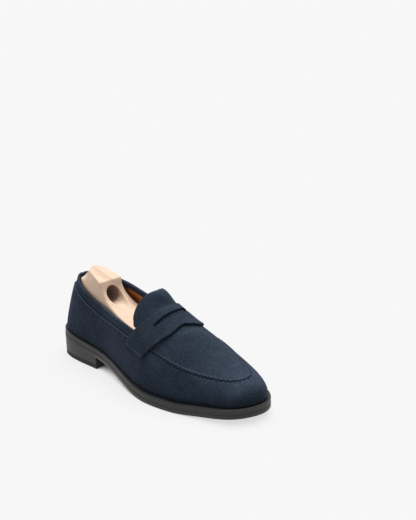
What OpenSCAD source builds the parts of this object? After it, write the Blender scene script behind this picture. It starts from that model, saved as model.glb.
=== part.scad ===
// Penny loafer for the right foot, with the wooden shoe tree that stands in it.
// The toe points along +X, the inner side of the foot lies towards +Y and the ground is z = 0.
// Everything above the sole is measured from one skin surface, named skin below.

/* [Sole] */
// Thickness of the outsole
outsole_t = 4.2; // [3:0.1:6]
// Thickness of the midsole
midsole_t = 3; // [2:0.1:4]
// Thickness of the welt and of the heel rand
welt_t = 3.2; // [2.4:0.1:4]
// Height of the rubber top piece under the heel
top_piece_t = 5.5; // [4:0.5:7]
// Where the heel's front face stands along the shoe
heel_breast_x = -74; // [-80:1:-66]

/* [Upper] */
// Thickness of the suede
suede_t = 1.4; // [1:0.1:1.6]
// Thickness of the leather lining
lining_t = 1; // [0.7:0.1:1]
// Thickness of the saddle strap
strap_t = 1.6; // [1.2:0.1:2.2]
// Half width of the slit in the strap at its middle, as a share of one station
slit_half = 0.07; // [0.04:0.01:0.1]
// Distance from one seam stitch to the next
stitch_pitch = 3; // [2.5:0.5:5]
// Distance from one stitch of the apron seam to the next
apron_pitch = 5; // [4:0.5:6]

/* [Shoe tree] */
// Radius of the finger hole
finger_r = 10; // [8:0.5:10.5]
// Depth of the finger hole behind the block's front edge
finger_depth = 26; // [20:1:28]
// Radius of the hinge pin
hinge_pin_r = 2; // [1.5:0.1:2.2]
// Gap between the hinge pin and its moving knuckle
hinge_gap = 0.06; // [0.03:0.01:0.1]

/* [Hidden] */

suede = [0.19, 0.23, 0.31];
edge_grey = [0.2, 0.19, 0.17];
tan_leather = [0.5, 0.29, 0.14];
beech = [0.9, 0.78, 0.66];

// ---- the last: the shape that the upper is pulled over ----

// Stations run from 0 at the back of the heel to 10 at the tip of the toe. Side -1 is the outer side of
// the foot and +1 the inner side. Control points of the feather line, where the upper meets the sole:
// heel, then along the outer side to the toe, then back along the inner side.
FEATHER = [[-149.7, 0], [-140.7, -23], [-108, -29], [-70, -28], [-36, -36], [0, -47], [35, -50.5],
    [69, -45.5], [103, -36.2], [142.5, -30], [153, 12], [124, 33.9], [98, 45.5], [66, 46.5], [34, 39],
    [-2, 26], [-40, 22], [-76, 27], [-108, 29], [-140.7, 23]];
// Ridge over the top of the foot: place along the shoe, sideways shift and height at each station
CREST = [[-120, 0, 117.5], [-116, 0, 121.5], [-94, 0, 118.5], [-68, 0, 119], [-40, 0, 118], [-8, -1, 110.5],
    [24, -2, 90.5], [56, -2, 73], [84, 0, 56.5], [104, 2, 47], [112.3, 5, 45]];
// How high the side stands up before it turns in, how far the top reaches out level, and how far the side
// bulges out, by station
SIDE_RISE = [0, 0.03, 0.17, 0.31, 0.45, 0.48, 0.5, 0.6, 0.56, 0.6, 0.68];
TOP_REACH = [0.55, 0.58, 0.63, 0.65, 0.6, 0.45, 0.38, 0.48, 0.5, 0.52, 0.55];
SIDE_BULGE = [3.6, 3.8, 4.2, 4.8, 5, 5, 5, 5, 5, 5, 5];
// Underside of the sole: height every 50 mm from x = -200
SOLE_Z = [30, 21, 17, 12.5, 3, -3, 3, 8.5, 13.5];
// How far the sole's edge stands out past the feather line, by station, on each side
EDGE_OUTER = [3, 3, 3.3, 3, 2.6, 3.6, 6.2, 7, 7, 4.7, 3.7];
EDGE_INNER = [3, 3, 2.9, 2, 1.6, 2.6, 5.4, 6.5, 6, 4.7, 3.7];
// Height on the skin, 0 at the feather line and 1 at the ridge, of the topline and of the wall's upper edge
TOPLINE_OUTER = [0.729, 0.609, 0.527, 0.423, 0.377, 0.408, 0.47, 0.5];
TOPLINE_INNER = [0.729, 0.609, 0.643, 0.599, 0.525, 0.491, 0.48, 0.5];
WALL_OUTER = [0.608, 0.549, 0.452, 0.334, 0.303, 0.325, 0.395, 0.365, 0.455, 0.64, 0.73];
WALL_INNER = [0.608, 0.549, 0.535, 0.495, 0.43, 0.4, 0.43, 0.48, 0.6, 0.64, 0.73];
// Moves the last so that the sole is centred on the origin
centre = [0.4, 2];
step = 0.02;

stack_t = outsole_t + midsole_t + welt_t;
insole_z = stack_t + 0.05;
insole_t = 2.2;
sock_z = insole_z + insole_t + 0.05;
sock_t = 1;

function basis(t) = [pow(1 - t, 3), 3 * t * t * t - 6 * t * t + 4, -3 * t * t * t + 3 * t * t + 3 * t + 1,
    t * t * t] / 6;
function fold(j, n) = j < 0 ? -j : (j > n ? 2 * n - j : j);

// Smooth curve through a closed list of control points
function loop_at(P, u) = let (n = len(P), i = floor(u), b = basis(u - i))
    b[0] * P[(i - 1 + n) % n] + b[1] * P[(i + n) % n] + b[2] * P[(i + 1) % n] + b[3] * P[(i + 2) % n];

// Smooth curve through a list of values that reflects at both ends
function fold_at(P, k) = let (n = len(P) - 1, q = fold(k, n), i = min(floor(q), n - 1), b = basis(q - i))
    b[0] * P[fold(i - 1, n)] + b[1] * P[i] + b[2] * P[i + 1] + b[3] * P[fold(i + 2, n)];

// Smooth curve through a list of values, between its second point and its last but one
function line_at(P, u) = let (q = min(max(u, 0), len(P) - 3.001), i = floor(q), b = basis(q - i))
    b[0] * P[i] + b[1] * P[i + 1] + b[2] * P[i + 2] + b[3] * P[i + 3];

function sole_z(x) = max(0, line_at(SOLE_Z, (x + 150) / 50));
function feather(k, s) = loop_at(FEATHER, s < 0 ? k : 20 - k) + centre;
function crest(k) = fold_at(CREST, k) + [centre.x, centre.y, 0];
function unit(a) = a / norm(a);
function mix(a, b, t) = a * (1 - t) + b * t;
function ramp(a, b, x) = let (t = min(max((x - a) / (b - a), 0), 1)) t * t * (3 - 2 * t);

function crest_slope(k) = let (a = crest(max(k - 0.4, 0)), b = crest(min(k + 0.4, 10)))
    (b.z - a.z) / (b.x - a.x);

// The four control points of the skin's cross curve at a station
function ribs(k, s) = let (
        f = feather(k, s),
        b = [f.x, f.y, sole_z(f.x) + stack_t],
        c = crest(k),
        flat = [b.x - c.x, b.y - c.y, 0],
        d = unit(flat),
        rise = c.z - b.z,
        reach = fold_at(TOP_REACH, k) * norm(flat))
    [b, b + d * fold_at(SIDE_BULGE, k) + [0, 0, fold_at(SIDE_RISE, k) * rise],
        c + d * reach + [0, 0, crest_slope(k) * d.x * reach], c];

function curve(p, t) = pow(1 - t, 3) * p[0] + 3 * pow(1 - t, 2) * t * p[1] + 3 * (1 - t) * t * t * p[2]
    + t * t * t * p[3];
function curve_dir(p, t) = pow(1 - t, 2) * (p[1] - p[0]) + 2 * (1 - t) * t * (p[2] - p[1])
    + t * t * (p[3] - p[2]);

// What a station needs for its points: the ribs just before it, at it and just after it
function station(k, s) = let (side = shared(k) ? -1 : s)
    [k, side, ribs(k - step, side), ribs(k, side), ribs(k + step, side), crest_slope(k)];
// Both sides share the first and the last station
function shared(k) = k == 0 || k == 10;
// Stations counted round the shoe: below 0 and above 10 lie on the inner side
function around(u) = u < 0 ? station(-u, 1) : (u > 10 ? station(20 - u, 1) : station(u, -1));

function skin_normal(g, v) = v > 0.999 ? unit([-g[5], 0, 1])
    : -g[1] * unit(cross(curve(g[4], v) - curve(g[2], v), curve_dir(g[3], v)));
// A point of the skin at height v, moved out by h
function skin(g, v, h) = curve(g[3], v) + h * skin_normal(g, v);

function wall_v(g) = fold_at(g[1] < 0 ? WALL_OUTER : WALL_INNER, g[0]);
function topline_v(g) = fold_at(g[1] < 0 ? TOPLINE_OUTER : TOPLINE_INNER, g[0]);

// ---- solids made from two grids of points ----

// Cell i, j of a grid of m rows and n columns is solid unless it lies in the gap [i0, i1, j0, j1]
function solid_cell(i, j, m, n, ring, gap) = (ring || (i >= 0 && i < m - 1)) && j >= 0 && j < n - 1
    && !(len(gap) > 0 && i >= gap[0] && i < gap[1] && j >= gap[2] && j < gap[3]);
function quad(a, b, c, d) = [[a, b, c], [a, c, d]];

// Solid between an outer and an inner grid. caps says whether the first and last rows are closed off.
module slab(outer, inner, ring = false, caps = [true, true], gap = []) {
    m = len(outer);
    n = len(outer[0]);
    half = m * n;
    points = [for (grid = [outer, inner]) for (row = grid) for (p = row) p];
    rows = ring ? m : m - 1;
    quads = [for (i = [0 : rows - 1]) for (j = [0 : n - 2]) if (solid_cell(i, j, m, n, ring, gap))
        let (a = i * n + j, b = ((i + 1) % m) * n + j, c = b + 1, d = a + 1)
        each [
            each quad(a, d, c, b),
            each quad(half + a, half + b, half + c, half + d),
            if (!solid_cell(i, j - 1, m, n, ring, gap)) each quad(a, b, half + b, half + a),
            if (!solid_cell(i, j + 1, m, n, ring, gap)) each quad(c, d, half + d, half + c),
            if (!solid_cell(i + 1, j, m, n, ring, gap) && (i < m - 2 || caps[1]))
                each quad(b, c, half + c, half + b),
            if (!solid_cell(i - 1, j, m, n, ring, gap) && (i > 0 || caps[0]))
                each quad(d, a, half + a, half + d)
        ]];
    faces = [for (f = quads)
        if (points[f[0]] != points[f[1]] && points[f[1]] != points[f[2]] && points[f[2]] != points[f[0]]) f];
    polyhedron(points, faces, convexity = 8);
}

// Solid with one closed outline per row, capped at both ends
module sweep(rows) {
    m = len(rows);
    n = len(rows[0]);
    sides = [for (i = [0 : m - 2]) for (j = [0 : n - 1])
        let (a = i * n + j, b = a + n, c = (i + 1) * n + (j + 1) % n, d = i * n + (j + 1) % n)
        each quad(a, d, c, b)];
    first = [for (j = [n - 1 : -1 : 0]) j];
    last = [for (j = [0 : n - 1]) (m - 1) * n + j];
    polyhedron([for (r = rows) for (p = r) p], concat(sides, [first, last]), convexity = 8);
}

function grid(stations, rise, h) = [for (g = stations) [for (v = rise(g)) skin(g, v, h)]];
function steps(a, b, n) = [for (i = [0 : n]) a + (b - a) * i / n];

// ---- bottom pieces ----

function loop_dir(k, s) = unit(feather(k + step, s) - feather(k - step, s));
// Feather line moved out by e
function outline(k, s, e) = let (side = shared(k) ? -1 : s, d = loop_dir(k, side))
    feather(k, side) + e * side * [-d.y, d.x];
function edge_out(k, s) = fold_at(s < 0 ? EDGE_OUTER : EDGE_INNER, k);
// Height over the underside of the sole
function lifted(p, h) = [p.x, p.y, sole_z(p.x) + h];

// Places of the points across a full sheet, as shares of its width
ACROSS = [0, 0.06, 0.14, 0.3, 0.5, 0.7, 0.86, 0.94, 1];

// Full sheet between stations k0 and k1, from height h0 to h1, standing out by out(k, s)
module sheet(k0, k1, n, out, h0, h1) {
    rims = [for (k = steps(k0, k1, n)) [for (s = [-1, 1]) outline(k, s, out(k, s))]];
    layer = function (h) [for (r = rims) [for (t = ACROSS) lifted(mix(r[0], r[1], t), h)]];
    slab(layer(h1), layer(h0), caps = [k0 > 0, k1 < 10]);
}

// Band that follows the feather line from u0 to u1, from out0 inside to out1(k, s) outside
module band(u0, u1, n, out0, out1, h0, h1) {
    us = [for (u = steps(u0, u1, n)) [u < 0 ? -u : (u > 10 ? 20 - u : u), u < 0 || u > 10 ? 1 : -1]];
    layer = function (h) [for (g = us)
        [lifted(outline(g[0], g[1], out1(g[0], g[1])), h), lifted(outline(g[0], g[1], out0), h)]];
    slab(layer(h1), layer(h0));
}

// Station at which the feather line on side s reaches x
function station_at(x, s, low = 0, high = 10, turns = 24) = turns == 0 ? (low + high) / 2
    : let (k = (low + high) / 2)
        feather(k, s).x < x ? station_at(x, s, k, high, turns - 1) : station_at(x, s, low, k, turns - 1);

// Middle of the sole, across the shoe, at x
function middle_y(x) = (feather(station_at(x, -1), -1).y + feather(station_at(x, 1), 1).y) / 2;

mid_z = outsole_t + midsole_t;
// Height at which the welt, the rand and the rib lie on the midsole
seat_z = mid_z + 0.05;
rand_end_x = heel_breast_x + 10;
joint_gap = 0.3;
rib_out = -7.2;
rib_t = 2.2;

module outsole() color(edge_grey)
    sheet(0, 10, 60, function (k, s) edge_out(k, s), 0, outsole_t);

module midsole() color(edge_grey)
    sheet(0, 10, 60, function (k, s) edge_out(k, s) - 0.3, outsole_t, mid_z);

module welt() color(edge_grey)
    band(station_at(rand_end_x + joint_gap, -1), 20 - station_at(rand_end_x + joint_gap, 1), 100,
        rib_out + 0.2, function (k, s) edge_out(k, s) - 0.1, seat_z, stack_t);

module heel_rand() color(edge_grey)
    band(-station_at(rand_end_x, 1), station_at(rand_end_x, -1), 28,
        rib_out + 0.2, function (k, s) edge_out(k, s) - 0.1, seat_z, stack_t);

module insole_rib() color("wheat")
    band(station_at(rand_end_x, -1), 20 - station_at(rand_end_x, 1), 48,
        rib_out - rib_t, function (k, s) rib_out, seat_z, stack_t);

module cork_filler() color("peru")
    sheet(5.7, 10, 24, function (k, s) rib_out - rib_t - 0.3, mid_z + 0.15, stack_t - 0.1);

shank_w = 16;
shank_z = mid_z + 0.1;
shank_t = 1.5;
SHANK_X = steps(-112, 12, 12);

module shank() color("silver") {
    layer = function (h) [for (x = SHANK_X)
        [for (y = [-shank_w / 2, shank_w / 2]) lifted([x, middle_y(x) + y], h)]];
    slab(layer(shank_z + shank_t), layer(shank_z));
}

insole_out = -4.4;
sock_out = -5.4;

module insole() color("tan")
    sheet(0, 10, 44, function (k, s) insole_out, insole_z, insole_z + insole_t);

module sock_lining() color(tan_leather)
    sheet(0, 4.6, 22, function (k, s) sock_out, sock_z, sock_z + sock_t);

// ---- heel ----

nail_r = 1.1;
nail_gap = 0.05;
nail_inset = -11;
NAILS = [for (s = [-1, 1]) for (k = [0.55, 1.2, 1.85, 2.45]) outline(k, s, nail_inset)];
nail_low = 1;
nail_high = 9.5;

// Slice of the heel stack between two shares of its height over the top piece
module heel_slice(low, high, taper) {
    n = 20;
    last = [for (s = [-1, 1]) station_at(heel_breast_x, s)];
    hollow = 3;
    rims = [for (i = [0 : n]) [for (j = [0, 1]) let (k = last[j] * i / n, s = 2 * j - 1)
        outline(k, s, edge_out(k, s) - taper)]];
    layer = function (height) [for (i = [0 : n]) [for (t = [0 : 0.25 : 1])
        let (p = mix(rims[i][0], rims[i][1], t), x = p.x - hollow * 4 * t * (1 - t) * pow(i / n, 4))
        [x, p.y, height(x)]]];
    difference() {
        slab(layer(high), layer(low), caps = [false, true]);
        for (p = NAILS)
            translate([p.x, p.y, nail_low])
                cylinder(r = nail_r + nail_gap, h = nail_high - nail_low + 1, $fn = 24);
    }
}

function lift_z(share) = function (x) top_piece_t + (sole_z(x) - top_piece_t) * share;

module heel_top_piece() color([0.13, 0.13, 0.12])
    heel_slice(function (x) 0, function (x) top_piece_t, 1);

module heel_lift_lower() color(edge_grey)
    heel_slice(lift_z(0), lift_z(1 / 3), 0.7);

module heel_lift_middle() color(edge_grey)
    heel_slice(lift_z(1 / 3), lift_z(2 / 3), 0.5);

module heel_lift_upper() color(edge_grey)
    heel_slice(lift_z(2 / 3), lift_z(1), 0.3);

module heel_nails() color("goldenrod")
    for (p = NAILS)
        translate([p.x, p.y, nail_low])
            cylinder(r = nail_r, h = nail_high - nail_low, $fn = 24);

// ---- upper ----

// Depths under the skin, outermost first: suede, stiffener or collar, lining, collar turned down inside
gap = 0.1;
sheet_gap = 0.3;
collar_t = 0.8;
stiff_t = 0.7;
under_h = -suede_t - gap;
lining_h = under_h - collar_t - sheet_gap;
turned_h = lining_h - lining_t - sheet_gap;
turned_t = 0.8;
collar_end = 5.35;
quarter_end = 5.6;

module vamp_wall() color(suede) {
    stations = [for (i = [0 : 79]) around(i / 4)];
    rise = function (g) steps(0, wall_v(g), 9);
    slab(grid(stations, rise, 0), grid(stations, rise, -suede_t), ring = true);
}

// How far the collar reaches under the wall, turns down inside, and rounds over, in heights on the skin
collar_under = 0.07;
turn_low = 0.06;
turn_top = 0.03;
turn_round = 0.02;
turn_edge = 0.004;

// Section of the collar: heights on the skin and depths under it, over the lining's edge and down inside
function collar_section(g) = let (t = topline_v(g), foot = wall_v(g) - collar_under, half = mix(foot, t, 0.5),
        back_h = under_h - collar_t, deep_h = turned_h - turned_t)
    [[foot, under_h], [half, under_h], [t - turn_round, under_h], [t - turn_edge, under_h - 0.5],
        [t, (under_h + deep_h) / 2], [t - turn_edge, deep_h + 0.4], [t - turn_round, deep_h],
        [t - turn_low, deep_h], [t - turn_low, turned_h], [t - turn_top, turned_h], [t - turn_top, back_h],
        [half, back_h], [foot, back_h]];

module topline_collar() color(suede)
    sweep([for (u = steps(-collar_end, collar_end, 44)) let (g = around(u))
        [for (q = collar_section(g)) skin(g, q[0], q[1])]]);

module quarter_lining() color(tan_leather) {
    stations = [for (u = steps(-quarter_end, quarter_end, 46)) around(u)];
    rise = function (g) steps(0.03, topline_v(g) - turn_top - 0.005, 7);
    slab(grid(stations, rise, lining_h), grid(stations, rise, lining_h - lining_t));
}

// Rows of points from one side over the ridge to the other. low(g) is where each side starts.
function over(k, n, low, h) = let (sides = [station(k, -1), station(k, 1)])
    [for (t = steps(-1, 1, 2 * n)) let (g = sides[t < 0 ? 0 : 1]) skin(g, mix(1, low(g), abs(t)), h)];

module vamp_lining() color(tan_leather) {
    layer = function (h) [for (k = steps(quarter_end + 0.1, 10, 18)) over(k, 7, function (g) 0.01, h)];
    slab(layer(lining_h), layer(lining_h - lining_t), caps = [true, false]);
}

module heel_counter() color("burlywood") {
    stations = [for (u = steps(-3.3, 3.3, 26)) around(u)];
    rise = function (g) steps(0.08, (wall_v(g) - 0.08) * (1 - 0.5 * ramp(2.4, 3.3, g[0])), 5);
    slab(grid(stations, rise, under_h), grid(stations, rise, under_h - stiff_t));
}

module toe_puff() color("burlywood") {
    stations = [for (u = steps(8.25, 11.75, 14)) around(u)];
    rise = function (g) steps(0.02, wall_v(g) - 0.04, 4);
    puff_h = under_h - gap;
    slab(grid(stations, rise, puff_h), grid(stations, rise, under_h - stiff_t));
}

interlining_t = 0.7;

module side_interlining() color("ivory")
    for (span = [[3.6, 8.1], [11.9, 16.4]]) {
        stations = [for (u = steps(span[0], span[1], 14)) around(u)];
        rise = function (g) steps(0.02, 0.17, 2);
        slab(grid(stations, rise, under_h - gap), grid(stations, rise, under_h - interlining_t));
    }

// Edges of the saddle strap, front edge on either side, and the middle of its slit: heights on the skin and
// the station there
STRAP_FRONT_OUTER = [[0.255, 5.54], [0.35, 5.774], [0.45, 6.004], [0.55, 6.203], [0.65, 6.387], [0.75, 6.471],
    [0.9, 6.565], [1, 6.712]];
STRAP_FRONT_INNER = [[0.255, 5.54], [0.35, 5.774], [0.45, 6.02], [0.57, 6.3], [0.7, 6.56], [0.8, 6.69],
    [0.9, 6.719], [1, 6.712]];
STRAP_REAR = [[0.273, 4.7], [0.35, 4.83], [0.42, 5], [0.5, 5.19], [0.6, 5.382], [0.7, 5.545], [0.8, 5.69],
    [0.9, 5.79], [1, 5.857]];
SLIT = [[0.592, 5.72], [0.7, 5.866], [0.8, 5.99], [0.9, 6.09], [1, 6.159]];
strap_v = 0.264;
slit_v = 0.592;
strap_h = 0.3;
// Shares of the way from the strap's end to the ridge
STRAP_STEPS = [0, 0.06, 0.14, 0.22, 0.3, 0.38, 0.446, 0.52, 0.6, 0.68, 0.76, 0.84, 0.92, 1];
slit_step = 6;

function strap_front(v, s) = lookup(v, s < 0 ? STRAP_FRONT_OUTER : STRAP_FRONT_INNER);

function strap_row(row, h) = let (n = len(STRAP_STEPS) - 1)
    [for (j = [-n : n]) let (v = mix(strap_v, 1, STRAP_STEPS[n - abs(j)]), s = j < 0 ? -1 : 1,
        a = lookup(v, STRAP_REAR), b = strap_front(v, s),
        open = slit_half * sqrt(max(0.04, 1 - pow((1 - v) / (1 - slit_v), 2))),
        c = v < slit_v ? mix(a, b, 0.5 - 0.12 * ramp(0.3, slit_v, v)) : lookup(v, SLIT),
        ks = [a, mix(a, c - open, 0.5), c - open, c + open, mix(c + open, b, 0.5), b])
        skin(station(ks[row], s), v, h)];

module saddle_strap() color(suede) {
    layer = function (h) [for (row = [0 : 5]) strap_row(row, h)];
    columns = 2 * len(STRAP_STEPS) - 1;
    slab(layer(strap_h + strap_t), layer(strap_h), gap = [2, 3, slit_step, columns - 1 - slit_step]);
}

// The apron and the tongue both end under the strap, this far behind its front edge
apron_under = 0.22;
tongue_under = 0.34;
tongue_v = 0.44;
tongue_lining_t = 0.6;
tongue_lining_in = 0.07;
tongue_lining_v = 0.52;
// Rear edge of the tongue: heights on the skin and the station there
TONGUE_REAR = [[0.44, 4.9], [0.5, 4.78], [0.55, 4.765], [0.6, 4.785], [0.65, 4.815], [0.7, 4.86],
    [0.75, 4.92], [0.8, 4.985], [0.85, 5.06], [0.9, 5.125], [0.95, 5.175], [1, 5.19]];
// The tongue's free part bulges up between its rear edge and the strap
free_share = 0.5;
function tongue_lift(v, r) = let (q = min(r / free_share, 1))
    ramp(0.5, 0.95, v) * (1.6 * (1 - ramp(0, 1, q)) + 2 * sin(180 * pow(q, 0.8)));

function tongue_grid(h, inset, low_v) = [for (r = steps(0, 1, 16)) [for (t = steps(-1, 1, 20))
    let (v = mix(1, low_v, abs(t)), s = t < 0 ? -1 : 1,
        a = lookup(v, TONGUE_REAR), b = strap_front(v, s) - tongue_under, k = mix(a + inset, b, r))
    skin(station(k, s), v, h + tongue_lift(v, (k - a) / (b - a)))]];

module tongue() color(suede)
    slab(tongue_grid(0, 0, tongue_v), tongue_grid(-suede_t, 0, tongue_v));

module tongue_lining() color(tan_leather) {
    layer = function (h) tongue_grid(h, tongue_lining_in, tongue_lining_v);
    slab(layer(under_h - sheet_gap), layer(under_h - sheet_gap - tongue_lining_t));
}

apron_low_v = 0.39;

function apron_grid(h) = [for (r = steps(0, 1, 20)) [for (t = steps(-1, 1, 16))
    let (s = t < 0 ? -1 : 1, k = mix(strap_front(mix(1, apron_low_v, abs(t)), s) - apron_under, 10, r),
        g = station(k, s))
    skin(g, mix(1, wall_v(g) + 0.008, abs(t)), h)]];

module apron() color(suede)
    slab(apron_grid(0), apron_grid(-suede_t), caps = [true, false]);

// ---- threads ----

// Values of u at equal distances along the path f(u)
function paced(u0, u1, f, pitch) = let (
        us = steps(u0, u1, 160),
        pts = [for (u = us) f(u)],
        run = [for (i = 0, d = 0; i < len(us); d = d + (i < len(us) - 1 ? norm(pts[i + 1] - pts[i]) : 0),
            i = i + 1) [d, us[i]]],
        total = run[len(run) - 1][0],
        count = floor(total / pitch))
    [for (i = [0 : count]) lookup(i * total / count, run)];

// Puts a stitch at p with its length along t and its top along n
module stitch(p, t, n, size) {
    side = cross(n, t);
    translate(p)
        rotate([atan2(side.z, n.z), -asin(t.z), atan2(t.y, t.x)])
            cube(size, center = true);
}

// Stitches along height rise(g) on the skin, either along the seam or across it
module seam(u0, u1, rise, h, pitch, size, across = false) {
    at = function (u) let (g = around(u)) skin(g, rise(g), h);
    for (u = paced(u0, u1, at, pitch)) {
        g = around(u);
        n = skin_normal(g, rise(g));
        along = at(u + step) - at(u - step);
        t = unit(along - (along * n) * n);
        stitch(at(u), across ? cross(n, t) : t, n, size);
    }
}

thread = [0.24, 0.28, 0.36];

module apron_stitches() color(thread)
    seam(6.02, 13.92, function (g) wall_v(g) + 0.012, 0.4, apron_pitch, [2.6, 1, 0.7], across = true);

module collar_stitches() color(thread)
    seam(-4.6, 4.6, function (g) wall_v(g) - 0.02, 0.3, stitch_pitch, [2, 0.5, 0.5]);

module strap_stitches() color(thread)
    for (span = [[4.82, 5.5], [14.5, 15.18]])
        seam(span[0], span[1], function (g) strap_v + 0.022, strap_h + strap_t + 0.3, stitch_pitch,
            [2, 0.5, 0.5]);

module welt_stitches() color([0.25, 0.24, 0.22]) {
    inset = 1.6;
    at = function (u) let (k = u > 10 ? 20 - u : u, s = u > 10 ? 1 : -1, out = edge_out(k, s))
        lifted(outline(k, s, out - min(inset, out / 2)), stack_t + 0.45);
    for (u = paced(station_at(rand_end_x, -1) + 0.1, 19.9 - station_at(rand_end_x, 1), at, stitch_pitch))
        stitch(at(u), unit(at(u + step) - at(u - step)), [0, 0, 1], [2, 0.6, 0.5]);
}

// ---- shoe tree ----

// Hinge axis: place along the shoe and height
hinge_x = 4;
leaf_z = 22;
leaf_t = 1.5;
knuckle_r = 3.5;
hinge_z = leaf_z + knuckle_r;
leaf_w = 28;
knuckle_w = 13;
knuckle_gap = 0.3;
leaf_len = 30;
knuckle_clear = 4.3;
tree_y = centre.y - 8;
tree_floor = sock_z + sock_t + 0.4;
finger_y = centre.y - 4.5;
finger_z = 82;
finger_front_x = -80;
finger_back_x = finger_front_x - finger_depth;
// Room between the tree and the turned-down collar, and between the tree and the lining
throat_h = turned_h - turned_t - 0.6;
fore_h = lining_h - lining_t - 0.7;
// How far the forepart's rear face leans forward, in degrees
fore_lean = 30;
screw_r = 1.2;
screw_head_r = 2.4;
screw_head_t = 0.8;
screw_len = 10;
screw_gap = 0.05;
SCREWS = [for (x = [11, 24]) for (y = [-8, 8]) [x, y]];

// Plan of the throat on side s, inside the collar
function throat(s) = [for (k = steps(0, 5.1, 24))
    let (g = station(k, s), p = skin(g, topline_v(g) - turn_edge, throat_h))
        [p.x, p.y]];
THROAT_OUTER = throat(-1);
THROAT_INNER = throat(1);
tree_rear_x = THROAT_OUTER[0].x;

// Side view of the heel block's top: back slope, knob, then the sweep down to the nose under the tongue
BLOCK_TOP = [[-128, 87.5], [-116, 104.5], [-80, 98], [-79, 96], [-76.5, 90.5], [-73.5, 86], [-70, 82.3],
    [-66, 79.2], [-60, 76.4], [-52, 73.3], [-44, 71], [-35, 69.2], [-26, 67.6], [-17, 65.6], [-10, 62.8],
    [-5, 59], [-2, 54]];
// Plan of the knob's top, on the outer and the inner side
KNOB_OUTER = [THROAT_OUTER[0], [-116, 4], [-114, -1], [-110, -6.5], [-95, -12], [-80, -17]];
KNOB_INNER = [THROAT_INNER[0], [-116, 8], [-113.5, 12], [-109, 14.3], [-103, 16], [-96, 16.4], [-80, 15.5]];
BLOCK_X = concat([for (t = [0, 0.6, 2, 4.5, 8]) tree_rear_x + t], [-116, -114, -110, -103, -96, -88],
    [for (i = [2 : len(BLOCK_TOP) - 1]) BLOCK_TOP[i].x]);
edge_in = 1.2;
nose_x = -16;
// Widest that the inner side may be, so that the block clears the narrowest place as it swings forward
swing_y = centre.y + 13.2;
// Height over which the knob may be wider than the throat
shoulder_z = 94.5;

function block_floor(x) = max(sole_z(x) + tree_floor, leaf_z + leaf_t);
function block_base(x) = min(lookup(x, BLOCK_TOP) - 2,
    79 + 7.5 * ramp(80, 110, -x) + 4.5 * ramp(109, 118, -x));
function block_side(x, s) = let (y = s < 0 ? lookup(x, THROAT_OUTER) : min(lookup(x, THROAT_INNER), swing_y),
        narrow = x < nose_x ? 1 : sqrt(1 - 0.8 * pow((x - nose_x) / 14, 2)))
    tree_y * (1 - narrow) + y * narrow;
function block_edge(x, s) = x > finger_front_x ? block_side(x, s) - s * edge_in
    : lookup(x, s < 0 ? KNOB_OUTER : KNOB_INNER);

// One row across the top of the block: up the outer side, over the top and down the inner side
function top_row(x) = let (a = block_side(x, -1), b = block_side(x, 1), c = block_edge(x, -1),
        d = block_edge(x, 1), top = lookup(x, BLOCK_TOP), base = block_base(x), half = (base + top) / 2,
        knob = ramp(92, 98, top))
    [[x, a, base], [x, (a + c) / 2, half], [x, c, top], [x, (c + d) / 2, top], [x, d, top],
        [x, mix((b + d) / 2, b, knob), mix(half, shoulder_z, knob)], [x, b, base]];

// How far in and how far up the points of the rounded lower corners lie
CORNER = [[0, 8], [1.5, 2.5], [3.5, 0]];
function low_row(x) = let (a = block_side(x, -1), b = block_side(x, 1), low = block_floor(x),
        size = min(1, (b - a) / 8))
    [for (c = CORNER) [x, a + c.x * size, low + c.y * size], [x, (a + b) / 2, low],
        for (i = [2 : -1 : 0]) [x, b - CORNER[i].x * size, low + CORNER[i].y * size]];

module hinge_clearance()
    translate([hinge_x, tree_y, hinge_z])
        rotate([90, 0, 0])
            cylinder(r = knuckle_clear, h = leaf_w + 60, center = true, $fn = 48);

// Screw holes or screws on one side of the hinge; toward is -1 to the heel and 1 to the toe
module hinge_screws(toward, gap)
    for (p = SCREWS)
        translate([hinge_x + toward * p.x, tree_y + p.y, leaf_z]) {
            cylinder(r = screw_r + gap, h = screw_len + gap, $fn = 24);
            cylinder(r = screw_head_r + gap, h = screw_head_t + gap, $fn = 24);
        }

module tree_heel_block() color(beech)
    difference() {
        slab([for (x = BLOCK_X) top_row(x)], [for (x = BLOCK_X) low_row(x)], caps = [false, true]);
        translate([finger_back_x, finger_y, finger_z])
            rotate([0, 90, 0])
                cylinder(r = finger_r, h = finger_depth + 40, $fn = 64);
        hinge_clearance();
        hinge_screws(-1, screw_gap);
    }

module tree_forepart() color(beech) {
    rows = steps(5.2, 10, 18);
    top = [for (k = rows) over(k, 6, function (g) 0.12, fore_h)];
    low = [for (k = rows) let (a = outline(k, -1, -7), b = outline(k, 1, -7)) [for (t = steps(0, 1, 12))
        let (p = mix(a, b, t), f = ramp(38, 60, p.x))
        [p.x, p.y, mix(leaf_z + leaf_t, sole_z(p.x) + tree_floor, f)]]];
    difference() {
        slab(top, low, caps = [true, false]);
        translate([hinge_x + knuckle_clear, 0, leaf_z])
            rotate([0, fore_lean, 0])
                translate([-100, -80, -60])
                    cube([100, 160, 200]);
        hinge_clearance();
        hinge_screws(1, screw_gap);
    }
}

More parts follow.
